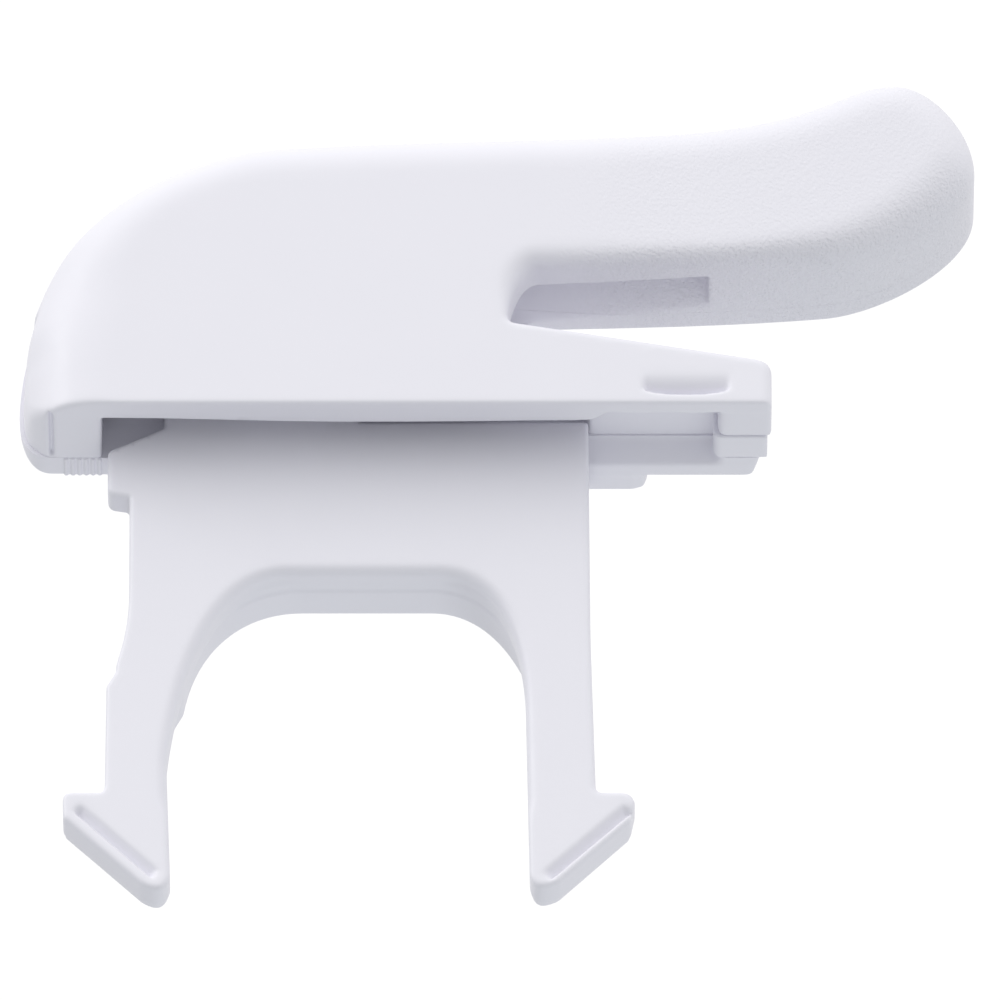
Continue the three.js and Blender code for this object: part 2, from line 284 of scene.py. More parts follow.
def around(outline, value, smooth):
    """value(x, z, nx, nz) at each stretch, averaged over a length; nx, nz is its outward normal."""
    ends = list(zip(outline, outline[1:] + outline[:1]))
    turn = sum(a.x * b.y - b.x * a.y for a, b in ends)
    result = []
    for a, b in ends:
        along = (b - a).normalized() * math.copysign(1, turn)
        middle = (a + b) / 2
        result.append(value(middle.x, middle.y, along.y, -along.x))
    lengths = np.array([(b - a).length for a, b in ends])
    place = np.cumsum(lengths) - lengths / 2
    gap = np.abs(place[:, None] - place[None, :])
    gap = np.minimum(gap, lengths.sum() - gap)
    weight = np.exp(-0.5 * (gap / smooth) ** 2) * lengths[None, :]
    return ((weight @ np.array(result)) / weight.sum(1)).astype(np.float32)


def both(a, b, edge=0.0):
    """What a and b share, with the edge between them rounded."""
    result = np.maximum(a, b)
    if edge:
        near = np.maximum(edge - np.abs(a - b), 0) / edge
        result = result + near * near * edge / 4
    return result


def either(a, b, edge=0.0):
    """a and b joined, with a fillet of that size between them."""
    return -both(-a, -b, edge)


def without(a, b, edge=0.0):
    """a with b cut out of it."""
    return both(a, -b, edge)


def between(value, low, high):
    return np.maximum(low - value, value - high)


def rod_y(grid, x, z, radius):
    return np.hypot(grid.x - x, grid.z - z) - radius


def rod_x(grid, y, z, radius):
    return np.hypot(grid.y - y, grid.z - z) - radius


def rounded(side, depth, radius, power=2.0):
    """A side wall turning into a face on a round edge, which a power above 2 eases in."""
    a = side + radius
    b = depth + radius
    reach = (np.maximum(a, 0) ** power + np.maximum(b, 0) ** power) ** (1 / power)
    return np.minimum(np.maximum(a, b), 0) + reach - radius


def ramp(value, low, high):
    """0 at low, 1 at high, smooth between; low may be the larger."""
    t = np.clip((value - low) / (high - low), 0, 1)
    return t * t * (3 - 2 * t)


def mix(a, b, share):
    return a + (b - a) * share


def blur(field, width=0.8):
    """A short Gaussian, which takes the grid's steps off edges."""
    reach = 2
    taps = np.exp(-0.5 * (np.arange(-reach, reach + 1) / width) ** 2).astype(np.float32)
    taps /= taps.sum()
    for axis in range(3):
        pad = [(0, 0)] * 3
        pad[axis] = (reach, reach)
        padded = np.pad(field, pad, mode="edge")
        count = field.shape[axis]
        total = np.zeros_like(field)
        for i, weight in enumerate(taps):
            part = [slice(None)] * 3
            part[axis] = slice(i, i + count)
            total += weight * padded[tuple(part)]
        field = total
    return field


# ---------------------------------------------------------------- meshes
def new_object(name, mesh):
    made = bpy.data.objects.new(name, mesh)
    bpy.context.scene.collection.objects.link(made)
    return made


def mesh_of(name, grid, field, cut_at=None, keep=None):
    """The field's zero surface as an object, sliced at cut_at; keep points to what stays."""
    limit = 4 * grid.voxel
    field = np.broadcast_to(field, grid.shape).astype(np.float32)
    field = blur(np.clip(field, -limit, limit))
    volume = openvdb.FloatGrid(background=limit)
    volume.copyFromArray(field)
    points, triangles, quads = volume.convertToPolygons(0.0, 0.002)
    mesh = bpy.data.meshes.new(name)
    points = (points * grid.voxel + grid.low).tolist()
    mesh.from_pydata(points, [], triangles.tolist() + quads.tolist())
    work = bmesh.new()
    work.from_mesh(mesh)
    if work.calc_volume(signed=True) < 0:
        bmesh.ops.reverse_faces(work, faces=work.faces)
    keep_largest(work)
    if keep:
        sliced(work, cut_at, keep)
    work.to_mesh(mesh)
    work.free()
    mesh.shade_smooth()
    co = np.zeros(len(mesh.vertices) * 3, np.float32)
    mesh.vertices.foreach_get("co", co)
    normals = slopes(grid, field, co.reshape(-1, 3))
    mesh.normals_split_custom_set(corner_normals(mesh, normals, cut_at, keep))
    mesh.vertices.foreach_set("co", co * MM)
    mesh.update()
    return new_object(name, mesh)


def corner_normals(mesh, normals, cut_at, keep):
    """The field's own normals at every face corner, and the plane's on a cut."""
    at = np.zeros(len(mesh.loops), np.int32)
    mesh.loops.foreach_get("vertex_index", at)
    result = normals[at]
    if keep:
        for face in mesh.polygons:
            flat = abs((face.center - Vector(cut_at)).dot(Vector(keep))) < 1e-3
            if flat and abs(face.normal.dot(Vector(keep))) > 0.99:
                result[face.loop_start:face.loop_start + face.loop_total] = -np.array(keep)
    return result.tolist()


def slopes(grid, field, points):
    """The direction in which the field grows at each point: the surface's normal there."""
    at = (points - grid.low) / grid.voxel
    base = np.clip(np.floor(at).astype(int), 1, np.array(grid.shape) - 3)
    part = (at - base).astype(np.float32)
    result = np.zeros((len(points), 3), np.float32)
    for corner in np.ndindex(2, 2, 2):
        i, j, k = (base + corner).T
        weight = np.prod(np.where(corner, part, 1 - part), axis=1)
        result[:, 0] += weight * (field[i + 1, j, k] - field[i - 1, j, k])
        result[:, 1] += weight * (field[i, j + 1, k] - field[i, j - 1, k])
        result[:, 2] += weight * (field[i, j, k + 1] - field[i, j, k - 1])
    return result / np.maximum(np.linalg.norm(result, axis=1, keepdims=True), 1e-9)


def sliced(work, cut_at, keep):
    """Keeps the side of a plane that keep points to, and closes the cut."""
    geom = work.verts[:] + work.edges[:] + work.faces[:]
    done = bmesh.ops.bisect_plane(work, geom=geom, plane_co=cut_at, plane_no=keep, clear_inner=True)
    edges = [e for e in done["geom_cut"] if isinstance(e, bmesh.types.BMEdge)]
    bmesh.ops.triangle_fill(work, edges=edges, use_beauty=True, normal=-Vector(keep))


def keep_largest(work):
    """Deletes every loose body but the largest."""
    work.verts.ensure_lookup_table()
    unseen = set(range(len(work.verts)))
    bodies = []
    while unseen:
        stack = [work.verts[unseen.pop()]]
        body = []
        while stack:
            vert = stack.pop()
            body.append(vert)
            for edge in vert.link_edges:
                other = edge.other_vert(vert)
                if other.index in unseen:
                    unseen.discard(other.index)
                    stack.append(other)
        bodies.append(body)
    bodies.sort(key=len)
    for body in bodies[:-1]:
        bmesh.ops.delete(work, geom=body, context="VERTS")


# ---------------------------------------------------------------- handle
def front_radius(x, z, nx, nz):
    """Edge radius of the handle's front face at a point of its outline."""
    if x > 40 and z < 22 and nx > 0.5:
        return 0.9
    if x > 16 and z < 26:
        return 0.6
    if x < 21 and x > 15 and z < 33:
        return mix(0.7, 2.1, ramp(z, 26, 31))
    if x > 16 and nz < 0.2:
        return mix(2.1, 4.5, ramp(x, 38, 64))
    return mix(4.5, 8.5, ramp(-x, 6, 33) * ramp(z, 46, 30))


def rear_radius(x, z, nx, nz):
    """Edge radius of the rear cover."""
    return mix(1.4, 3.4, ramp(-x, 26, 34))


def handle_skin(grid, shrink=0.0):
    """The handle's outer form, solid; shrink draws its lower left side in."""
    outline = skin_outline()
    side, nearest = grid.flat(outline)
    side = side + shrink * ramp(grid.z, 27, 22) * ramp(grid.x, -29, -32)
    front = around(outline, front_radius, 1.0)[nearest]
    rear = around(outline, rear_radius, 1.0)[nearest]
    body = rounded(side, FRONT - grid.y, front * 1.25, 2.5)
    body = np.maximum(body, rounded(side, grid.y - REAR, rear * 1.2, 2.4))
    corner = grid.flat(handle_outline())[0] + shrink * ramp(grid.x, -31.2, -33)
    lower_left = np.where((grid.x < -18) & (grid.z < 30), corner - 1.2 * ramp(grid.x, -28, -20), -9)
    return both(body, lower_left, 0.8)


BOSS = 2.7            # radii of a screw post, its hole and the well over the screw's head
SCREW_HOLE = 1.1
WELL = 2.5
SCREW_HEAD = 1.3      # height of a screw's head
RIB_X, RIB_WIDTH = 6, 3   # the spring's abutment
SLOT_LEFT, SLOT_RIGHT = 16.4, 37.3   # the recess in the lever's underside
GRIP_PITCH = 0.7


def screw_places():
    """X and Z of each cover screw and the plane its head rests on, from the CAD."""
    result = {}
    for name in ("cover_screw_slide", "cover_screw_corner", "cover_screw_top", "cover_screw_lever"):
        low, high = node_box(name)
        result[name] = ((low.x + high.x) / 2, (low.z + high.z) / 2, high.y - SCREW_HEAD)
    return result


ROD_LOW, ROD_HIGH = node_box("guide_rod")
ROD_RADIUS = (ROD_HIGH.z - ROD_LOW.z) / 2
ROD_Y = (ROD_LOW.y + ROD_HIGH.y) / 2
ROD_Z = (ROD_LOW.z + ROD_HIGH.z) / 2


def wall_plane(x):
    """Y of the front wall's inner face: thin and a little wavy in the prong."""
    thick = 3.5 + 0.8 * ramp(x, -26, 0) - 0.3 * ramp(x, 4, 24)
    thin = 2.4 + 0.1 * np.sin(x * 1.1)
    return FRONT + mix(thick, thin, ramp(x, 24.7, 27))


def front_shell():
    """Cap, lever and prong in one, hollow, with screw posts and the spring's abutment."""
    grid = Grid(shell_low, shell_high + Vector((0, 1, 0)))
    x, y, z = grid.x, grid.y, grid.z
    body = both(handle_skin(grid, 0.45), BOTTOM - z, 0.3)
    body = without(body, prong_scoop(grid), 0.05)
    room = np.maximum(grid.flat(cavity_outline())[0], wall_plane(x) - y)
    body = without(body, room, 0.4)
    body = without(body, channel(grid), 0.4)
    body = without(body, finger_slot(grid), 0.35)
    body = without(body, corner_groove(grid), 0.1)
    nose = np.maximum(NOSE_FRONT - 0.08 - y, z - CHANNEL_TOP)
    body = without(body, np.maximum(between(x, NOSE_LEFT - 2, 50), nose), 0.12)
    for place_x, place_z, _ in screw_places().values():
        post = np.maximum(rod_y(grid, place_x, place_z, BOSS), FRONT + 3 - y)
        body = either(body, post, 0.8)
        hole = rod_y(grid, place_x, place_z, SCREW_HOLE + 0.2)
        body = without(body, np.maximum(hole, FRONT + 4.5 - y))
    rib = np.maximum(between(x, RIB_X, RIB_X + RIB_WIDTH), between(z, 31.4, 47))
    body = either(body, np.maximum(rib, FRONT + 3 - y), 0.8)
    hole = np.maximum(rod_x(grid, ROD_Y, ROD_Z, ROD_RADIUS + 0.3), between(x, RIB_X - 1, RIB_X + 4))
    body = without(body, hole)
    return mesh_of("handle_front_skin", grid, body, (0, PARTING - SEAM, 0), (0, -1, 0))


def channel(grid):
    """The prong's shallow open underside, between its front wall and the rear cover."""
    block = np.maximum(24 - grid.x, grid.z - CHANNEL_TOP)
    block = np.maximum(block, -rounded(38.3 - grid.x, BOTTOM - grid.z, 1.0))
    return np.maximum(block, wall_plane(grid.x) - grid.y)


def corner_groove(grid):
    """The fine step between the flat underside and the cap's rounded lower left corner."""
    line = np.maximum(between(grid.x, -31.5, -31.1), between(grid.y, FRONT + 2.6, PARTING - 0.3))
    return np.maximum(line, grid.z - BOTTOM - 0.8)


def finger_slot(grid):
    """The recess in the lever's underside: it tapers to the right, its roof slopes to the rear."""
    front = FRONT + 4.4 + (SLOT_RIGHT - grid.x) * 0.05
    rear = FRONT + 10.6 + (SLOT_RIGHT - grid.x) * 0.11
    block = np.maximum(between(grid.x, SLOT_LEFT, SLOT_RIGHT), between(grid.y, front, rear))
    roof = mix(38.6, 32.5 + 0.02 * (grid.x - 16), (grid.y - front) / (rear - front))
    return np.maximum(block, np.maximum(26 - grid.z, (grid.z - roof) * 0.75))


def prong_scoop(grid):
    """The scoop in the prong's face deepens in an arc, down to a lip that bows in the middle."""
    x, z = grid.x, grid.z
    start, arc = 19.5, 2.6
    lip = 16.75 + 0.65 * np.abs((x - 34.95) / 4.7) ** 3
    across = np.clip((start - z) / arc, 0, 0.99)
    deep = np.minimum(arc * (1 - np.sqrt(1 - across ** 2)), 1.85)
    ends = np.minimum(x - 30.25 - (start - z) * 0.06, 39.75 - (start - z) * 0.06 - x)
    deep = deep * ramp(ends, 0, 0.5)
    block = np.maximum(-ends, np.maximum(lip - z, z - start))
    return np.maximum(block, (grid.y - FRONT - deep) * 0.8)


def rear_cover():
    """The flat rear, with a raised pad behind the fork and wells for the screws."""
    grid = Grid(cover_low - Vector((0, 1, 0)), cover_high)
    x, y, z = grid.x, grid.y, grid.z
    body = both(handle_skin(grid), BOTTOM - z, 0.3)
    tip_end = rounded(x - 42.8 + (y - PARTING) * 0.22, y - REAR, 0.8)
    body = both(body, np.where(z < 23, tip_end, -9), 0.3)
    pad_outline = trace(
        (-20, BOTTOM), [(29.4, BOTTOM)], [(31, BOTTOM), (31, 17)], [(31, 19.6)], [(27, 20.8)],
        [(14, 22)], [(9, 31)], [(-12, 31)], [(-20, 26)], spacing=2,
    )
    pad = rounded(grid.flat(pad_outline)[0], np.maximum(REAR - 1 - y, y - PAD_BACK), 0.5)
    body = either(body, pad, 0.3)
    slope = (y - PARTING - 1.5 + (z - BOTTOM) * 0.45) * 0.9
    body = without(body, both(channel(grid), slope, 0.9), 0.3)
    body = without(body, finger_slot(grid), 0.3)
    for place_x, place_z, seat in screw_places().values():
        body = without(body, rod_y(grid, place_x, place_z, SCREW_HOLE + 0.2))
        well = np.maximum(rod_y(grid, place_x, place_z, WELL), seat - 0.3 - y)
        body = without(body, well, 0.3)
    return mesh_of("handle_rear_skin", grid, body, (0, PARTING + SEAM, 0), (0, 1, 0))


def grip_ribs():
    """The fine ribs on the rear cover's lower left underside."""
    low = (-30.3, PARTING - 0.4, BOTTOM - 0.3)
    high = (-25.4, REAR, BOTTOM + 1)
    grid = Grid(low, high, voxel=0.07, margin=0.5)
    wave = np.abs(((grid.x + 29.8) / GRIP_PITCH + 0.5) % 1 - 0.5) * GRIP_PITCH
    ribs = np.maximum(wave - 0.2, between(grid.x, -30.1, -25.9))
    ribs = np.maximum(ribs, between(grid.y, PARTING + 0.1, REAR - 0.4))
    sole = np.maximum(between(grid.x, -30.1, -25.9), between(grid.y, PARTING + 0.1, REAR - 0.4))
    sole = np.maximum(sole, BOTTOM + 0.02 - grid.z)
    ribs = np.minimum(ribs, sole)
    ribs = both(ribs, between(grid.z, BOTTOM - 0.14, BOTTOM + 0.8), 0.1)
    return mesh_of("cover_grip_ribs", grid, ribs)


def nose_block():
    """The prong's solid end; its lower inner edge is rounded."""
    grid = Grid(nose_low, nose_high, voxel=0.12)
    side = np.maximum(
        between(grid.x, nose_low.x, nose_high.x), between(grid.z, nose_low.z, nose_high.z)
    )
    depth = between(grid.y, nose_low.y, PARTING)
    left = rounded(nose_low.x - grid.x, nose_low.z - grid.z, 1.0)
    return mesh_of("prong_nose_fine", grid, both(both(side, depth, 0.12), left, 0.1))


# ---------------------------------------------------------------- fork
def fork_radius(x, z, nx, nz):
    """Front edge radius of the fork: soft round the arch and inside the legs, else crisp."""
    if z < CATCH - 2 or z > 1:
        return 0.5
    return 1.2 if abs(x) < 19.7 else 0.4


def fork_field(grid):
    x, y, z = grid.x, grid.y, grid.z
    outline = plate_outline()
    side, nearest = grid.flat(outline)
    edge = around(outline, fork_radius, 0.8)[nearest]
    face = rounded(side, FORK_FRONT - y, edge)
    plate = both(face, y - CREASE, 0.3)
    tapered = side + 0.04 * (y - FORK_FRONT)
    legs = both(np.maximum(face, tapered), np.maximum(y - LEG_BACK, z + 5), 0.4)
    rib = grid.flat(rib_outline())[0]
    back = both(rib, between(y, CREASE - 2, FORK_BACK), 0.9)
    lip = np.maximum(rib - 0.22 * ramp(np.abs(x), 20.5, 19.5), CREASE - y)
    fork = either(either(plate, legs), np.minimum(back, both(lip, y - FORK_BACK, 0.9)), 0.15)
    fork = np.maximum(fork, z - BOTTOM + GAP)
    fork = either(fork, fork_head(grid))
    for start, end in BARB_GROOVES:
        fork = without(fork, barb_groove(grid, Vector(start), Vector(end)), 0.2)
    return without(fork, head_notch(grid), 0.3)


# the barbs' grooves: the line on which each starts at the face, from the toe up
BARB_GROOVES = (((-19.75, -35.75), (-27.8, -27.9)), ((20, -35.95), (28.4, -27.9)))


def barb_groove(grid, start, end):
    """A scooped groove on a barb's face, deepening away from that line to a lip beside the ramp."""
    along = (end - start).normalized()
    out = Vector((along.y, -along.x))
    if out.y > 0:
        out = -out
    run = (grid.x - start.x) * along.x + (grid.z - start.y) * along.y
    across = (grid.x - start.x) * out.x + (grid.z - start.y) * out.y
    width = 1.15
    length = (end - start).length
    deep = 1.1 * np.clip(across / width, 0, 1) ** 0.8
    deep = deep * ramp(run, -0.2, 0.5) * ramp(run, length + 0.3, length - 0.3)
    block = np.maximum(between(across, 0, width), between(run, -0.2, length + 0.3))
    return np.maximum(block, (grid.y - FORK_FRONT - deep) * 0.8)


def head_notch(grid):
    """The head's lower left corner is cut away, and the cavity shows through."""
    block = np.maximum(between(grid.x, -27, -19.5), grid.z - 21)
    block = np.maximum(block, (13.8 + (grid.x + 27) * 0.49 - grid.z) * 0.9)
    return np.maximum(block, grid.y - HEAD_BACK - 0.1)


def fork_head(grid):
    """The fork's head inside the handle: the boss's slot, and the lug that holds the rod."""
    x, y, z = grid.x, grid.y, grid.z
    low = np.maximum(between(x, -25.4, 24.8), between(z, BOTTOM - 2, CHANNEL_TOP - GAP))
    tall = np.maximum(between(x, -25.4, 0.8), between(z, BOTTOM - 2, 29.4))
    head = both(np.minimum(low, tall), between(y, FORK_FRONT, HEAD_BACK), 0.4)
    lug = np.maximum(between(x, -24.6, -21.6), between(z, 28.4, 37.6))
    lug = both(lug, between(y, FORK_FRONT - 3, HEAD_BACK), 0.5)
    head = either(head, lug, 0.6)
    hole = rod_x(grid, ROD_Y, ROD_Z, ROD_RADIUS + 2 * GAP)
    head = without(head, np.maximum(hole, between(x, -26, -20)))
    boss_x, boss_z, _ = screw_places()["cover_screw_slide"]
    reach = np.maximum(0, np.maximum(boss_x - STROKE - x, x - boss_x))
    window = np.hypot(reach, z - boss_z) - BOSS - GAP
    return without(head, window, 0.3)


def fork_halves():
    """The fork in two halves, cut at X = FORK_SPLIT and each closed on the cut."""
    low = Vector((-30.5, fork_low.y, left_leg_low.z))
    high = Vector((30.5, fork_high.y, fork_high.z))
    grid = Grid(low, high)
    field = fork_field(grid)
    left = mesh_of("fork_left_half", grid, field, (FORK_SPLIT, 0, 0), (-1, 0, 0))
    right = mesh_of("fork_right_half", grid, field, (FORK_SPLIT, 0, 0), (1, 0, 0))
    return left, right


# ---------------------------------------------------------------- fastenings
def cover_screw(name):
    """A pan-head screw with a cross recess and a cut thread."""
    low, high = node_box(name)
    grid = Grid(low, high, voxel=0.1, margin=0.5)
    x, y, z = (low.x + high.x) / 2, grid.y, (low.z + high.z) / 2
    seat = high.y - SCREW_HEAD
    thread = 0.1 * np.sin(2 * math.pi * y / 0.9 + np.arctan2(grid.z - z, grid.x - x))
    shank = np.maximum(rod_y(grid, x, z, SCREW_HOLE - 0.1) - thread, between(y, low.y, seat + 0.2))
    head = np.maximum(rounded(rod_y(grid, x, z, (high.x - low.x) / 2), y - high.y, 1.0), seat - y)
    wide = np.abs(grid.x - x)
    tall = np.abs(grid.z - z)
    arm = np.minimum(np.maximum(wide - 0.3, tall - 1.3), np.maximum(wide - 1.3, tall - 0.3))
    recess = np.maximum(arm + 0.25 * (high.y - y), seat + 0.45 - y)
    return mesh_of(name + "_fine", grid, without(either(shank, head), recess, 0.1))


def guide_rod():
    grid = Grid(ROD_LOW, ROD_HIGH, voxel=0.12, margin=0.5)
    ends = between(grid.x, ROD_LOW.x, ROD_HIGH.x)
    rod = rounded(rod_x(grid, ROD_Y, ROD_Z, ROD_RADIUS), ends, 0.3)
    return mesh_of("guide_rod_fine", grid, rod)


def ring(name, made_name, slits):
    """A ring on the guide rod: the plain washer, or the push-on clip with slits in its edge."""
    low, high = node_box(name)
    grid = Grid(low, high, voxel=0.07, margin=0.4)
    outside = rod_x(grid, ROD_Y, ROD_Z, (high.z - low.z) / 2)
    body = rounded(outside, between(grid.x, low.x, high.x), 0.12)
    body = without(body, rod_x(grid, ROD_Y, ROD_Z, ROD_RADIUS + 0.3), 0.1)
    if slits:
        angle = np.arctan2(grid.z - ROD_Z, grid.y - ROD_Y)
        reach = np.hypot(grid.z - ROD_Z, grid.y - ROD_Y)
        across = np.abs(((angle / (math.pi / 2)) % 1) - 0.5) * (math.pi / 2) * reach
        body = without(body, np.maximum(across - 0.18, reach - 1.9), 0.08)
    return mesh_of(made_name, grid, body)


def return_spring():
    """A compression spring whose end turns lie flat."""
    low, high = node_box("return_spring")
    wire = 0.32
    mean = (high.z - low.z) / 2 - wire
    first, last = low.x + wire, high.x - wire
    turns = 11
    steps = turns * 40
    path = []
    for i in range(steps + 1):
        turn = turns * i / steps
        free = min(max(turn - 1, 0), turns - 2) / (turns - 2)
        closed = (min(turn, 1) + max(turn - turns + 1, 0)) * wire * 2.1
        span = last - first - 2 * wire * 2.1
        angle = 2 * math.pi * turn
        path.append(Vector((
            first + closed + span * free,
            ROD_Y + mean * math.cos(angle),
            ROD_Z + mean * math.sin(angle),
        )) * MM)
    return tube("return_spring_fine", path, wire * MM, 14)


def tube(name, path, radius, sides):
    """A round wire along a path, closed at both ends."""
    work = bmesh.new()
    rings = []
    centre = Vector((0, ROD_Y, ROD_Z)) * MM
    for i, point in enumerate(path):
        along = (path[min(i + 1, len(path) - 1)] - path[max(i - 1, 0)]).normalized()
        out = point - centre
        out.x = 0
        out = (out - along * out.dot(along)).normalized()
        side = along.cross(out)
        circle = []
        for k in range(sides):
            angle = 2 * math.pi * k / sides
            spoke = out * math.cos(angle) + side * math.sin(angle)
            circle.append(work.verts.new(point + spoke * radius))
        rings.append(circle)
    for a, b in zip(rings, rings[1:]):
        for k in range(sides):
            j = (k + 1) % sides
            work.faces.new((a[k], a[j], b[j], b[k]))
    work.faces.new(rings[0][::-1])
    work.faces.new(rings[-1])
    bmesh.ops.recalc_face_normals(work, faces=work.faces)
    mesh = bpy.data.meshes.new(name)
    work.to_mesh(mesh)
    work.free()
    mesh.shade_smooth()
    return new_object(name, mesh)


# ---------------------------------------------------------------- materials
class Nodes:
    """Short calls for building a node tree."""

    def __init__(self, tree):
        self.tree = tree
        tree.nodes.clear()

    def add(self, kind, **settings):
        node = self.tree.nodes.new(kind)
        for key, value in settings.items():
            setattr(node, key, value)
        return node

    def link(self, out, into):
        self.tree.links.new(out, into)

    def noise(self, place, scale, detail=2.0, rough=0.5):
        node = self.add("ShaderNodeTexNoise")
        node.inputs["Scale"].default_value = scale
        node.inputs["Detail"].default_value = detail
        node.inputs["Roughness"].default_value = rough
        self.link(place, node.inputs["Vector"])
        return node.outputs["Fac"]

    def span(self, value, from_low, from_high, to_low, to_high, smooth=False):
        node = self.add("ShaderNodeMapRange")
        node.interpolation_type = "SMOOTHSTEP" if smooth else "LINEAR"
        node.inputs["From Min"].default_value = from_low
        node.inputs["From Max"].default_value = from_high
        node.inputs["To Min"].default_value = to_low
        node.inputs["To Max"].default_value = to_high
        self.link(value, node.inputs["Value"])
        return node.outputs["Result"]

    def math(self, operation, a, b):
        node = self.add("ShaderNodeMath", operation=operation)
        for slot, value in zip(node.inputs, (a, b)):
            if isinstance(value, (int, float)):
                slot.default_value = value
            else:
                self.link(value, slot)
        return node.outputs[0]

    def blend(self, share, a, b):
        """Colour a where share is 0, b where it is 1."""
        node = self.add("ShaderNodeMix", data_type="RGBA")
        sockets = [s for s in node.inputs if s.type == "RGBA"]
        sockets[0].default_value = (*a, 1)
        sockets[1].default_value = (*b, 1)
        self.link(share, node.inputs[0])
        return [s for s in node.outputs if s.type == "RGBA"][0]

    def normal(self):
        """The surface's direction in the object's own axes."""
        return self.add("ShaderNodeTexCoord").outputs["Normal"]

    def bump(self, height, distance, under=None):
        node = self.add("ShaderNodeBump")
        node.inputs["Distance"].default_value = distance
        node.inputs["Strength"].default_value = 1
        self.link(height, node.inputs["Height"])
        if under is not None:
            self.link(under, node.inputs["Normal"])
        return node.outputs["Normal"]


def shader(name):
    """A new material: itself, its nodes, its Principled shader and the object's coordinates."""
    material = bpy.data.materials.new(name)
    material.use_nodes = True
    nodes = Nodes(material.node_tree)
    surface = nodes.add("ShaderNodeBsdfPrincipled")
    nodes.link(surface.outputs["BSDF"], nodes.add("ShaderNodeOutputMaterial").inputs["Surface"])
    place = nodes.add("ShaderNodeTexCoord").outputs["Object"]
    return material, nodes, surface, place


# the two colours that each material is mottled with
HANDLE_DARK, HANDLE_LIGHT = (0.853, 0.846, 0.908), (0.868, 0.86, 0.92)
FORK_DARK, FORK_LIGHT = (0.848, 0.841, 0.902), (0.864, 0.857, 0.917)
ZINC_DARK, ZINC_LIGHT = (0.6, 0.61, 0.63), (0.76, 0.77, 0.79)
SPRING_DARK, SPRING_LIGHT = (0.46, 0.47, 0.49), (0.6, 0.61, 0.63)
FLOOR_DARK, FLOOR_LIGHT = (0.62, 0.63, 0.65), (0.66, 0.67, 0.69)
PLASTIC_IOR = 1.5


def handle_plastic():
    """White satin moulding: faint orange peel all over, a fine leather grain on the lever."""
    material, nodes, surface, place = shader("handle_plastic")
    surface.inputs["IOR"].default_value = PLASTIC_IOR
    cloud = nodes.noise(place, 90)
    nodes.link(nodes.blend(cloud, HANDLE_DARK, HANDLE_LIGHT), surface.inputs["Base Color"])
    nodes.link(nodes.span(nodes.noise(place, 700), 0.3, 0.7, 0.4, 0.5), surface.inputs["Roughness"])
    peel = nodes.bump(nodes.noise(place, 900, 3), 0.000006)
    split = nodes.add("ShaderNodeSeparateXYZ")
    nodes.link(place, split.inputs["Vector"])
    along = nodes.span(split.outputs["X"], 0.018, 0.032, 0, 1, smooth=True)
    above = nodes.span(split.outputs["Z"], 0.026, 0.031, 0, 1, smooth=True)
    lever = nodes.math("MULTIPLY", along, above)
    turned = nodes.add("ShaderNodeSeparateXYZ")
    nodes.link(nodes.normal(), turned.inputs["Vector"])
    facing_down = nodes.span(turned.outputs["Z"], 0.0, -0.6, 0.3, 1.0, smooth=True)
    lever = nodes.math("MULTIPLY", lever, facing_down)
    cells = nodes.add("ShaderNodeTexVoronoi", feature="SMOOTH_F1")
    cells.inputs["Scale"].default_value = 2800
    nodes.link(place, cells.inputs["Vector"])
    grain = nodes.math("ADD", cells.outputs["Distance"], nodes.noise(place, 4200, 3, 0.6))
    height = nodes.math("MULTIPLY", grain, lever)
    nodes.link(nodes.bump(height, 0.00014, peel), surface.inputs["Normal"])
    return material


def fork_plastic():
    """White moulding, plain satin, with soft flow marks."""
    material, nodes, surface, place = shader("fork_plastic")
    surface.inputs["IOR"].default_value = PLASTIC_IOR
    cloud = nodes.noise(place, 70)
    nodes.link(nodes.blend(cloud, FORK_DARK, FORK_LIGHT), surface.inputs["Base Color"])
    rough = nodes.span(nodes.noise(place, 500), 0.3, 0.7, 0.38, 0.48)
    nodes.link(rough, surface.inputs["Roughness"])
    fine = nodes.bump(nodes.noise(place, 1400, 3), 0.000008)
    nodes.link(nodes.bump(nodes.noise(place, 160), 0.00004, fine), surface.inputs["Normal"])
    return material


def zinc_steel():
    material, nodes, surface, place = shader("zinc_steel")
    surface.inputs["Metallic"].default_value = 1
    cloud = nodes.noise(place, 800, 4)
    nodes.link(nodes.blend(cloud, ZINC_DARK, ZINC_LIGHT), surface.inputs["Base Color"])
    rough = nodes.span(nodes.noise(place, 2500, 4), 0.3, 0.7, 0.24, 0.4)
    nodes.link(rough, surface.inputs["Roughness"])
    nodes.link(nodes.bump(nodes.noise(place, 3000), 0.00001), surface.inputs["Normal"])
    return material


def spring_steel():
    material, nodes, surface, place = shader("spring_steel")
    surface.inputs["Metallic"].default_value = 1
    cloud = nodes.noise(place, 1200, 4)
    nodes.link(nodes.blend(cloud, SPRING_DARK, SPRING_LIGHT), surface.inputs["Base Color"])
    rough = nodes.span(nodes.noise(place, 4000, 4), 0.3, 0.7, 0.22, 0.36)
    nodes.link(rough, surface.inputs["Roughness"])
    nodes.link(nodes.bump(nodes.noise(place, 5000), 0.000008), surface.inputs["Normal"])
    return material


# ---------------------------------------------------------------- studio
CAMERA_ELEVATION = -30.07
CAMERA_DISTANCE = 3.5
AIM = Vector((15.56, 0, 11.18)) * MM
FIELD = 104.5 * MM    # what the frame's side spans at the object


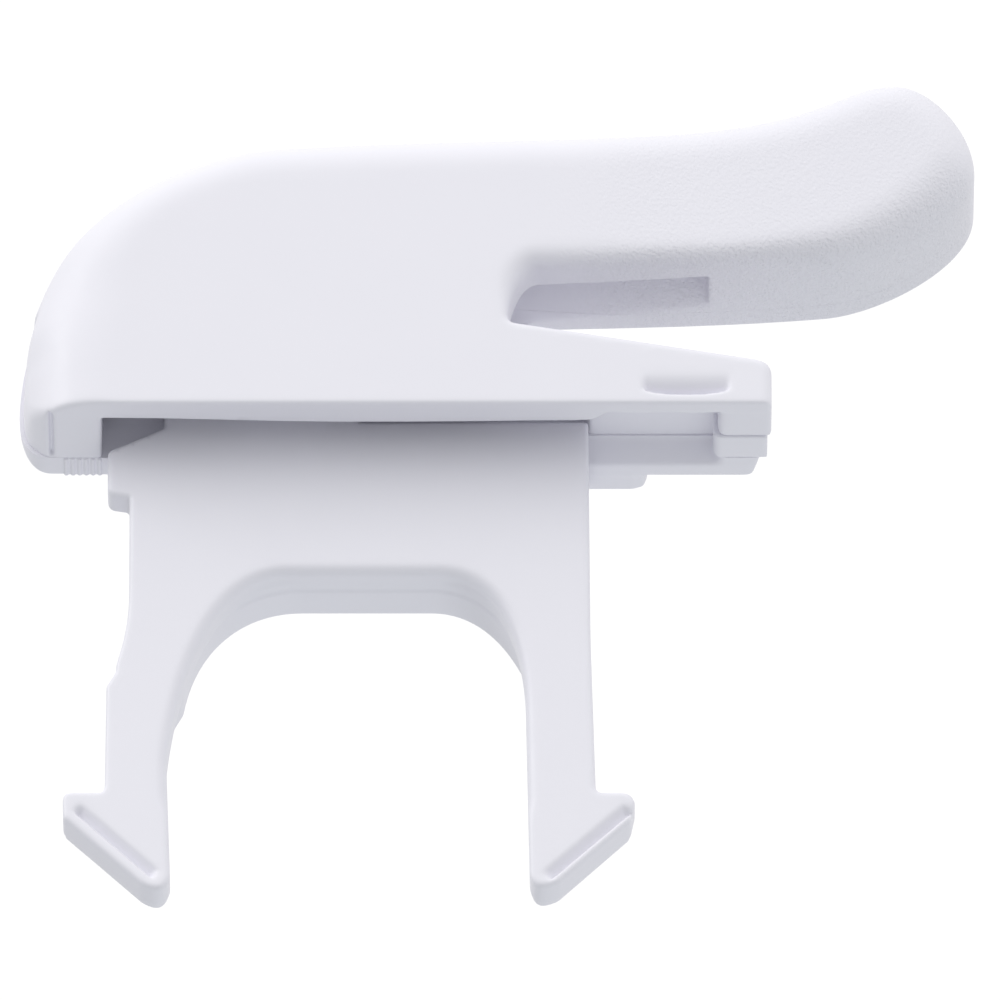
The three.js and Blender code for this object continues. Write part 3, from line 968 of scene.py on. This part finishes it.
def camera():
    data = bpy.data.cameras.new("camera")
    data.sensor_width = 36
    data.lens = data.sensor_width * CAMERA_DISTANCE / FIELD
    data.clip_start, data.clip_end = 0.1, 100
    made = bpy.data.objects.new("camera", data)
    bpy.context.scene.collection.objects.link(made)
    elevation = math.radians(CAMERA_ELEVATION)
    back = Vector((0, -math.cos(elevation), math.sin(elevation)))
    made.location = AIM + back * CAMERA_DISTANCE
    made.rotation_euler = (-back).to_track_quat("-Z", "Y").to_euler()
    bpy.context.scene.camera = made


SKY_LOW, SKY_HIGH = 0.18, 0.83
# brighter regions of the studio: direction, cosine where it starts, strength at its middle
GLOWS = (
    ((0, -0.8, 0.6), 0.3, 0.6),
    ((0, 0.3, -0.95), 0.4, 0.7),
    ((0, 0.98, 0.2), 0.2, 0.2),
    ((0.95, -0.1, -0.25), 0.3, 0.3),
)


def studio_world():
    """White seen directly; as a light it is brighter above, in front and below, and bluer below."""
    world = bpy.data.worlds.new("studio")
    bpy.context.scene.world = world
    world.use_nodes = True
    nodes = Nodes(world.node_tree)
    place = nodes.add("ShaderNodeTexCoord").outputs["Generated"]
    split = nodes.add("ShaderNodeSeparateXYZ")
    nodes.link(place, split.inputs["Vector"])
    strength = nodes.span(split.outputs["Z"], -1, 1, SKY_LOW, SKY_HIGH)
    for direction, start, glow in GLOWS:
        facing = nodes.add("ShaderNodeVectorMath", operation="DOT_PRODUCT")
        nodes.link(place, facing.inputs[0])
        facing.inputs[1].default_value = Vector(direction).normalized()
        lobe = nodes.span(facing.outputs["Value"], start, 1, 0, glow, smooth=True)
        strength = nodes.math("ADD", strength, lobe)
    light = nodes.add("ShaderNodeBackground")
    height = nodes.span(split.outputs["Z"], -1, 0.2, 0, 1)
    tint = nodes.blend(height, (0.94, 0.975, 1.0), (1.0, 1.0, 1.0))
    nodes.link(tint, light.inputs["Color"])
    nodes.link(strength, light.inputs["Strength"])
    seen = nodes.add("ShaderNodeBackground")
    seen.inputs["Color"].default_value = (1, 1, 1, 1)
    seen.inputs["Strength"].default_value = 1.05
    choice = nodes.add("ShaderNodeMixShader")
    nodes.link(nodes.add("ShaderNodeLightPath").outputs["Is Camera Ray"], choice.inputs[0])
    nodes.link(light.outputs[0], choice.inputs[1])
    nodes.link(seen.outputs[0], choice.inputs[2])
    nodes.link(choice.outputs[0], nodes.add("ShaderNodeOutputWorld").inputs["Surface"])


def softbox(name, place, size, power):
    data = bpy.data.lights.new(name, "AREA")
    data.shape = "RECTANGLE"
    data.size, data.size_y = size
    data.energy = power
    made = bpy.data.objects.new(name, data)
    bpy.context.scene.collection.objects.link(made)
    made.location = place
    made.rotation_euler = (AIM - Vector(place)).to_track_quat("-Z", "Y").to_euler()


def pale_floor():
    """A round pale floor far below, out of the camera's way."""
    work = bmesh.new()
    bmesh.ops.create_circle(work, cap_ends=True, segments=96, radius=1.4)
    mesh = bpy.data.meshes.new("floor")
    work.to_mesh(mesh)
    work.free()
    floor = new_object("floor", mesh)
    floor.location = (0, 0, -1.4)
    material, nodes, surface, place = shader("floor")
    surface.inputs["Roughness"].default_value = 0.8
    cloud = nodes.noise(place, 3)
    nodes.link(nodes.blend(cloud, FLOOR_DARK, FLOOR_LIGHT), surface.inputs["Base Color"])
    mesh.materials.append(material)
    floor.visible_diffuse = False
    floor.visible_glossy = False
    floor.visible_shadow = False


# ---------------------------------------------------------------- assembly
def stand_for(made, nodes, material):
    """Gives a fine piece its material and hides the CAD nodes it stands for."""
    made.data.materials.clear()
    made.data.materials.append(material)
    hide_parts(*nodes)
    return made


def assemble():
    white, fork_white, zinc, spring = handle_plastic(), fork_plastic(), zinc_steel(), spring_steel()
    for made, node in (
        (front_shell(), "handle_front_shell"),
        (rear_cover(), "handle_rear_cover"),
        (nose_block(), "prong_nose_block"),
    ):
        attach(stand_for(made, [node], white), "handle")
    ribs = grip_ribs()
    ribs.data.materials.append(white)
    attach(ribs, "handle")
    for name in screw_places():
        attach(stand_for(cover_screw(name), [name], zinc), "handle")
    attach(stand_for(guide_rod(), ["guide_rod"], zinc), "handle")
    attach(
        stand_for(ring("rod_clip", "rod_clip_fine", True), ["rod_clip"], spring), "handle"
    )
    washer = ring("spring_washer", "spring_washer_fine", False)
    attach(stand_for(washer, ["spring_washer"], zinc), "carriage")
    left, right = fork_halves()
    stand_for(left, ["clip_fork", "left_snap_leg"], fork_white)
    stand_for(right, ["clip_fork", "right_snap_leg"], fork_white)
    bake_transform(left)
    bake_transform(right)
    coil = stand_for(return_spring(), ["return_spring"], spring)
    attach(coil, "carriage")
    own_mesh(coil)


camera()
studio_world()
softbox("side_softbox", (-1.2, -0.5, 0.6), (0.7, 0.9), 5.4)
pale_floor()
assemble()
bpy.context.scene.view_settings.view_transform = "Standard"
